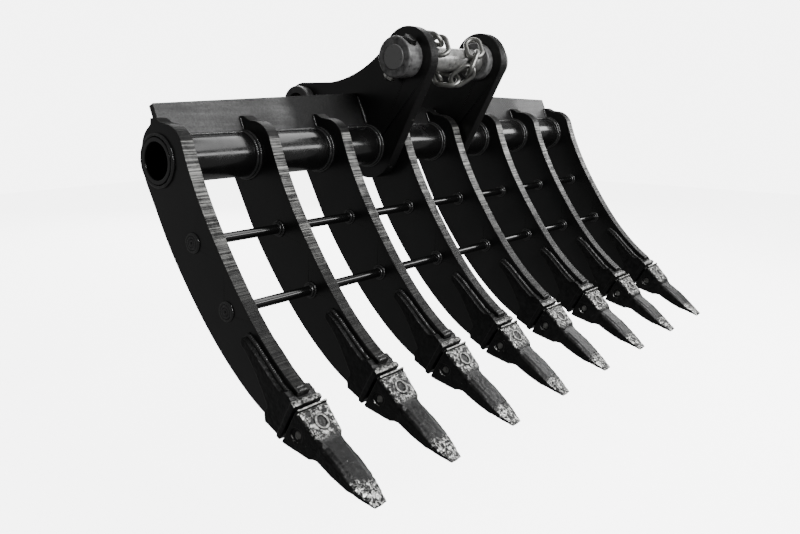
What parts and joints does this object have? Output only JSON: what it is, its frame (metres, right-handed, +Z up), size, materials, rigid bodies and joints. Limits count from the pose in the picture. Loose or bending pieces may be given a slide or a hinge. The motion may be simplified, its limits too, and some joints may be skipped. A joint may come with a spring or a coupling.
{
  "type": "excavator root rake",
  "caption": "Curved-tine root rake for an excavator, with a torsion tube, tie rods, pinned wear teeth and a two-ear pin-on hitch.",
  "frame": {"origin": "middle of the front hitch pin, half-way across the rake", "axes": "+X along the torsion tube and the hitch pin, -Y towards the tooth tips, +Z up as the rake hangs level"},
  "size_m": [1.766, 0.916, 0.9118],
  "materials": {
    "painted_plate": "gloss black paint over flame-cut plate, cut edges grey",
    "painted_ear": "satin black paint",
    "tube_paint": "gloss black paint",
    "satin_plate": "satin grey-black paint",
    "cast_adapter": "black-painted cast steel",
    "cast_tooth": "black-painted cast steel, bright on the worn faces",
    "weld_paint": "black paint over weld bead",
    "pin_steel": "bare ground steel",
    "zinc": "bright zinc plate",
    "galvanised_chain": "weathered galvanised steel"
  },
  "bodies": {
    "rake": {"adapter_1": "cast_adapter", "adapter_2": "cast_adapter", "adapter_3": "cast_adapter", "adapter_4": "cast_adapter", "adapter_5": "cast_adapter", "adapter_6": "cast_adapter", "adapter_7": "cast_adapter", "adapter_8": "cast_adapter", "back_plate_centre": "satin_plate", "back_plate_left": "satin_plate", "back_plate_right": "satin_plate", "boss_front_inner_left": "painted_ear", "boss_front_inner_right": "painted_ear", "boss_front_outer_left": "painted_ear", "boss_front_outer_right": "painted_ear", "boss_rear_inner_left": "painted_ear", "boss_rear_inner_right": "painted_ear", "boss_rear_outer_left": "painted_ear", "boss_rear_outer_right": "painted_ear", "ear_left": "painted_ear", "ear_plate_welds": "weld_paint", "ear_right": "painted_ear", "hitch_pin": "pin_steel", "keeper_bolt": "zinc", "keeper_nut": "zinc", "keeper_washers": "zinc", "rod_welds_lower": "weld_paint", "rod_welds_upper": "weld_paint", "tie_rod_lower": "tube_paint", "tie_rod_upper": "tube_paint", "tine_1": "painted_plate", "tine_2": "painted_plate", "tine_3": "painted_plate", "tine_4": "painted_plate", "tine_5": "painted_plate", "tine_6": "painted_plate", "tine_7": "painted_plate", "tine_8": "painted_plate", "tooth_1": "cast_tooth", "tooth_2": "cast_tooth", "tooth_3": "cast_tooth", "tooth_4": "cast_tooth", "tooth_5": "cast_tooth", "tooth_6": "cast_tooth", "tooth_7": "cast_tooth", "tooth_8": "cast_tooth", "torsion_tube": "tube_paint", "tube_welds": "weld_paint"},
    "lock_pin_1": {"tooth_pin_1": "pin_steel"},
    "lock_pin_2": {"tooth_pin_2": "pin_steel"},
    "lock_pin_3": {"tooth_pin_3": "pin_steel"},
    "lock_pin_4": {"tooth_pin_4": "pin_steel"},
    "lock_pin_5": {"tooth_pin_5": "pin_steel"},
    "lock_pin_6": {"tooth_pin_6": "pin_steel"},
    "lock_pin_7": {"tooth_pin_7": "pin_steel"},
    "lock_pin_8": {"tooth_pin_8": "pin_steel"},
    "lifting_chain": {"lifting_chain": "galvanised_chain"}
  },
  "joints": [
    {"name": "lock_pin_1_drive_out", "type": "slide", "parent": "rake", "child": "lock_pin_1", "axis": [-1, 0, 0], "range_m": [0, 0.09]},
    {"name": "lock_pin_2_drive_out", "type": "slide", "parent": "rake", "child": "lock_pin_2", "axis": [-1, 0, 0], "range_m": [0, 0.09]},
    {"name": "lock_pin_3_drive_out", "type": "slide", "parent": "rake", "child": "lock_pin_3", "axis": [-1, 0, 0], "range_m": [0, 0.09]},
    {"name": "lock_pin_4_drive_out", "type": "slide", "parent": "rake", "child": "lock_pin_4", "axis": [-1, 0, 0], "range_m": [0, 0.09]},
    {"name": "lock_pin_5_drive_out", "type": "slide", "parent": "rake", "child": "lock_pin_5", "axis": [-1, 0, 0], "range_m": [0, 0.09]},
    {"name": "lock_pin_6_drive_out", "type": "slide", "parent": "rake", "child": "lock_pin_6", "axis": [-1, 0, 0], "range_m": [0, 0.09]},
    {"name": "lock_pin_7_drive_out", "type": "slide", "parent": "rake", "child": "lock_pin_7", "axis": [-1, 0, 0], "range_m": [0, 0.09]},
    {"name": "lock_pin_8_drive_out", "type": "slide", "parent": "rake", "child": "lock_pin_8", "axis": [-1, 0, 0], "range_m": [0, 0.09]},
    {"name": "lifting_chain_slide", "type": "slide", "parent": "rake", "child": "lifting_chain", "axis": [1, 0, 0], "range_m": [0, 0.03]}
  ]
}
